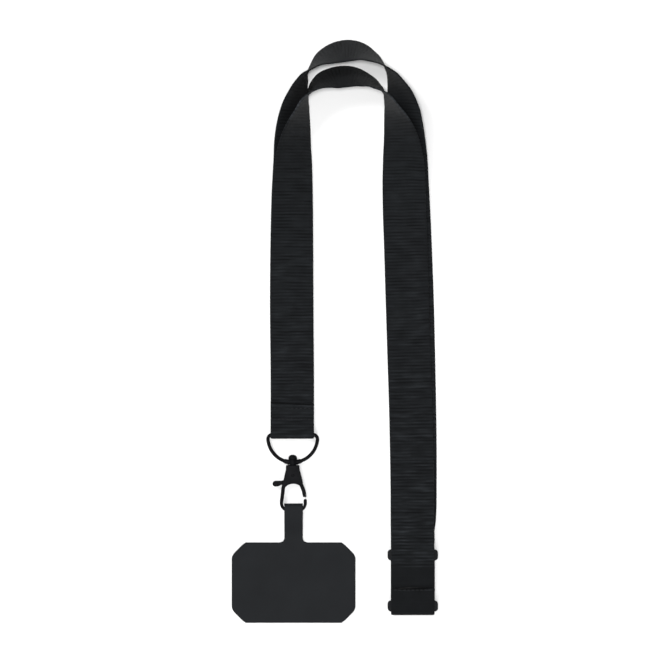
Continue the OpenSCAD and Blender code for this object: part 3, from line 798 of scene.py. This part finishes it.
def make_gate(material):
    """Lever on the pin: the arm that closes the claw on the right, and the thumb end on the left."""
    arm = [(-0.8, 1.55), (1.2, 1.3), (2.4, -0.3), (4.4, -3.3), (5.35, -5.4), (5.95, -7.1), (6.35, -10),
           (4.75, -10), (4.15, -7.2), (3.4, -5.2), (2.6, -3.5), (0.4, -1.7), (-0.6, -1.7), (-3.9, -4),
           (-5.4, -4.4), (-6.6, -5)]
    knob = arc(-7.9, THUMB_Y, 1.35, 262, 98, steps=10) + [(-5.2, -2.5), (-3.6, -2), (-1.8, -0.3)]
    bm = bmesh.new()
    outline = [(HOOK_X + x, PIVOT_Y + y) for x, y in arm + knob]
    extrude(bm, outline[::-1], PLANE_Z - GATE_T / 2, PLANE_Z + GATE_T / 2)
    gate = bevelled(mesh_object("gate_lever", bm, material), 0.3, 3, 25)
    pocket = bmesh.new()
    extrude(pocket, arc(HOOK_X, PIVOT_Y, SPRING_POCKET_R, 0, 350, steps=35), PLANE_Z - 2, PLANE_Z + 0.05)
    combine(gate, "DIFFERENCE", [pin_cutter(PIN_R + PIN_PLAY), mesh_object("pocket", pocket)])
    thumb = bmesh.new()
    extrude(thumb, arc(HOOK_X - 8.1, PIVOT_Y + THUMB_Y, 1.2, 0, 345, steps=23), PLANE_Z - 1.3, PLANE_Z + 1.3)
    pad = bevelled(mesh_object("thumb_pad", thumb, material), 0.35, 4, 40)
    for piece in (gate, pad):
        shade(piece, 45)
        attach(piece, "gate")
    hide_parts("gate")


def make_pin(material):
    """The gate's pin, with a low domed head on top and its end flush underneath."""
    low, high = PLANE_Z - HOOK_T / 2, PLANE_Z + HOOK_T / 2
    profile = [(0.35, low), (PIN_R - 0.08, low + 0.03), (PIN_R, low + 0.12), (PIN_R, high - 0.05),
               (PIN_R - 0.06, high + 0.03), (0.5, high + 0.1), (0.2, high + 0.13)]
    bm = bmesh.new()
    rings = []
    for radius, z in profile:
        circle = arc(HOOK_X, PIVOT_Y, radius, 0, 360, steps=32)[:-1]
        rings.append([bm.verts.new((x * MM, y * MM, z * MM)) for x, y in circle])
    skin(bm, rings)
    pin = mesh_object("pivot_rivet", bm, material)
    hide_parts("gate_pin")
    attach(pin, "hook")


# ---------------------------------------------------------------- tab
TAB_X = -19.1
PAD_W, PAD_H, PAD_CUT = 57, 37, 6
CUT_EASE, RIM_EASE = 1.6, 0.45  # reach of the rounding at each corner, and how far it draws in the pad's ends
SHEET_T, STEM_W, FILLET = 0.45, 8.5, 2.1
BACK_STEM = 3.25                # how far the backing sheet runs up the stem
PAD_TOP = -97.05
PAD_LOW = PAD_TOP - PAD_H
FRONT_Z, BACK_Z = SHEET_T * 1.5 + 0.05, SHEET_T / 2
FOLD_R = PLANE_Z - BACK_Z
FOLD_Y = -79 - PLANE_Z
RISE_FROM, RISE_TO = -95.5, -84  # where the stem climbs from the pad to the top of the fold
TAIL_Y = -93.6                  # where the folded stem ends, on the backing sheet


def half_width(y):
    """Half of the pad's width at a height above its bottom edge, with its corners cut and eased."""
    near = min(y, PAD_H - y)
    half = PAD_W / 2 - max(0, PAD_CUT - near)
    if abs(near - PAD_CUT) < CUT_EASE:
        half -= (CUT_EASE - abs(near - PAD_CUT)) ** 2 / (4 * CUT_EASE)
    if near < CUT_EASE:
        half -= RIM_EASE * (1 - near / CUT_EASE) ** 2
    return half


def sheet_grid(bm, stem_rows, place):
    """A T-shaped sheet as a grid of cells. place turns [across, along] into a point, in millimetres."""
    verts = {}

    def vert(x, y):
        key = (round(x, 4), round(y, 4))
        if key not in verts:
            verts[key] = bm.verts.new(place(x, y) * MM)
        return verts[key]

    def strip(low, high, low_columns, high_columns):
        below = [vert(x, low) for x in low_columns]
        above = [vert(x, high) for x in high_columns]
        for k in range(len(below) - 1):
            corners = list(dict.fromkeys((below[k], below[k + 1], above[k + 1], above[k])))
            if len(corners) > 2:
                bm.faces.new(corners)

    half = STEM_W / 2
    inner = [half * k / 4 for k in range(-4, 5)]
    root = [-half - FILLET] + inner + [half + FILLET]

    def columns(y):
        wing = [half + FILLET + (half_width(y) - half - FILLET) * k / 10 for k in range(1, 11)]
        return [-x for x in wing[::-1]] + root + wing

    rows = [PAD_H * k / 74 for k in range(75)]
    for low, high in zip(rows, rows[1:]):
        strip(low, high, columns(low), columns(high))
    # the fillets at the root of the stem
    before, low = root, PAD_H
    for k in range(1, 9):
        rise = math.sin(math.pi / 2 * k / 8)
        flare = FILLET * (1 - math.sqrt(1 - (1 - rise) ** 2))
        after = [-half - flare] + inner + [half + flare]
        strip(low, PAD_H + FILLET * rise, before, after)
        before, low = after, PAD_H + FILLET * rise
    for high in stem_rows:
        strip(low, high, inner, inner)
        low = high


def front_path():
    """Side view of the front sheet: [y, z] points from the pad's bottom, over the fold and down the back."""
    top = PLANE_Z + FOLD_R
    path = [(PAD_LOW, FRONT_Z), (PAD_TOP, FRONT_Z), (RISE_FROM, FRONT_Z)]
    for k in range(1, 16):
        t = k / 16
        climb = 3 * t * t - 2 * t ** 3
        path.append((RISE_FROM + (RISE_TO - RISE_FROM) * t, FRONT_Z + (top - FRONT_Z) * climb))
    path += [(RISE_TO, top), (FOLD_Y, top)]
    path += [(FOLD_Y + FOLD_R * math.sin(a), PLANE_Z + FOLD_R * math.cos(a))
             for a in (math.pi * k / 20 for k in range(1, 21))]
    return path + [(TAIL_Y, BACK_Z)]


def make_tab_sheet(name, node, material, stem_length, place, held):
    """One sheet of the tab: the pad, and a length of the stem."""
    rows = 90 if held == "folded" else 2
    first = PAD_H + FILLET
    bm = bmesh.new()
    sheet_grid(bm, [first + (stem_length - FILLET) * k / rows for k in range(1, rows + 1)], place)
    piece = mesh_object(name, bm, material)
    thick = piece.modifiers.new("thick", "SOLIDIFY")
    thick.thickness, thick.offset = SHEET_T * MM, 0
    thick.use_even_offset = True
    apply_modifiers(piece)
    bevelled(piece, 0.09, 2, 50)
    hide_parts(node)
    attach(piece, "tab")


def make_tab(material):
    path = front_path()
    reach = [0]
    for a, b in zip(path, path[1:]):
        reach.append(reach[-1] + math.dist(a, b))

    def front_place(x, along):
        k = 0
        while k < len(path) - 2 and reach[k + 1] < along:
            k += 1
        t = (along - reach[k]) / (reach[k + 1] - reach[k])
        y = path[k][0] + (path[k + 1][0] - path[k][0]) * t
        z = path[k][1] + (path[k + 1][1] - path[k][1]) * t
        return Vector((TAB_X + x, y, z))

    def back_place(x, along):
        return Vector((TAB_X + x, PAD_LOW + along, BACK_Z))

    make_tab_sheet("tab_front", "tab_front_sheet", material, reach[-1] - PAD_H, front_place,
                   held="folded")
    make_tab_sheet("tab_backing", "tab_back_sheet", material, BACK_STEM, back_place,
                   held="laid")


# ---------------------------------------------------------------- build
make_camera()
make_light()

webbing_look = webbing_material()
thread_look = thread_material()
metal_look = metal_material("black_metal", (0.002, 0.002, 0.0025), (0.006, 0.0062, 0.0072), 0.5, 0, 0.03)
spring_look = metal_material("spring_steel", (0.35, 0.35, 0.36), (0.6, 0.6, 0.62), 0.3, 1, 0.5)
plastic_look = plastic_material()
tab_look = tab_material()

# the far end of the front webbing lies pressed flat on the buckle, and its selvedge gets a painted highlight
# at the shoulders
front_web, front_length = webbing("front_webbing", FRONT_ROUTE, webbing_look, ((0, 0.2), (0.12, 0.9)),
                                  smooth=(0, 38), painted_edge_highlight=1)
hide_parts("front_strap", "front_strap_end")
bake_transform(front_web)

back_web, back_length = webbing("back_webbing", BACK_ROUTE, webbing_look, ((0.7, 0.45), (0, 0.2)))
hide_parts("back_strap")
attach(back_web, "strap")

flap_top = LOW_Z + 2 * LAYER + THICK_AT_RIB
loop_top = LOW_Z + LAYER + THICK_AT_RIB
ring_rows = [(LEFT_X, y, flap_top) for y in (-35.2, -40.2)]
stitches("ring_stitching", ring_rows, thread_look, "strap", "ring_seam", 0.5)
front_rows = [(BUCKLE_X, -118.6, 5.86)]
stitches("front_loop_stitching", front_rows, thread_look, "socket_end", "front_loop_seam", 0.3)
back_rows = [(BUCKLE_X, -90.9, loop_top)]
stitches("back_loop_stitching", back_rows, thread_look, "strap", "back_loop_seam", 0.3)

make_d_ring(metal_look)
make_post(metal_look)
make_hook_body(metal_look)
make_gate(metal_look)
make_pin(metal_look)
make_tab(tab_look)

# these keep the CAD model's shape and only take a material
carried = {"buckle_socket": plastic_look, "buckle_plug": plastic_look, "gate_spring": spring_look}
for node, look in carried.items():
    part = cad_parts[node]
    part.data.materials.clear()
    part.data.materials.append(look)

floor_mesh = bmesh.new()
bmesh.ops.create_grid(floor_mesh, x_segments=2, y_segments=2, size=3)
floor = mesh_object("floor", floor_mesh, floor_material())
floor.location.z = cad_low.z - FLOOR_DROP
